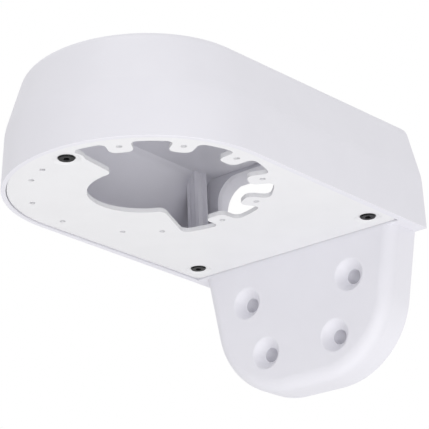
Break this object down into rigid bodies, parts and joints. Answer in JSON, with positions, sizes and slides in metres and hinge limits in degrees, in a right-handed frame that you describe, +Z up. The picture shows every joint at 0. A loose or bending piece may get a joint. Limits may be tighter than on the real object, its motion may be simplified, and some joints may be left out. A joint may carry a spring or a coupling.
{
  "type": "l-shaped bracket",
  "caption": "L-shaped wall bracket with a hollow D-shaped hood, a flange with counterbored holes and a flat plate with an open ring of lugs to carry a dome camera.",
  "frame": {"origin": "on the wall face, on the centre line, level with the rim of the hood, where the web closes the top of the flange", "axes": "+X across the bracket, +Y into the wall, +Z up; the hood reaches out along -Y and the flange hangs down along -Z"},
  "size_m": [0.1574, 0.2356, 0.1503],
  "materials": {
    "casting_paint": "white fine matte powder coat on die-cast aluminium",
    "plate_paint": "white matte powder coat on sheet steel",
    "black_steel": "black oxide, slightly glossy"
  },
  "bodies": {
    "root": {"bracket_housing": "casting_paint", "camera_plate": "plate_paint", "plate_screw_front": "black_steel", "plate_screw_rear_left": "black_steel", "plate_screw_rear_right": "black_steel"}
  },
  "joints": []
}
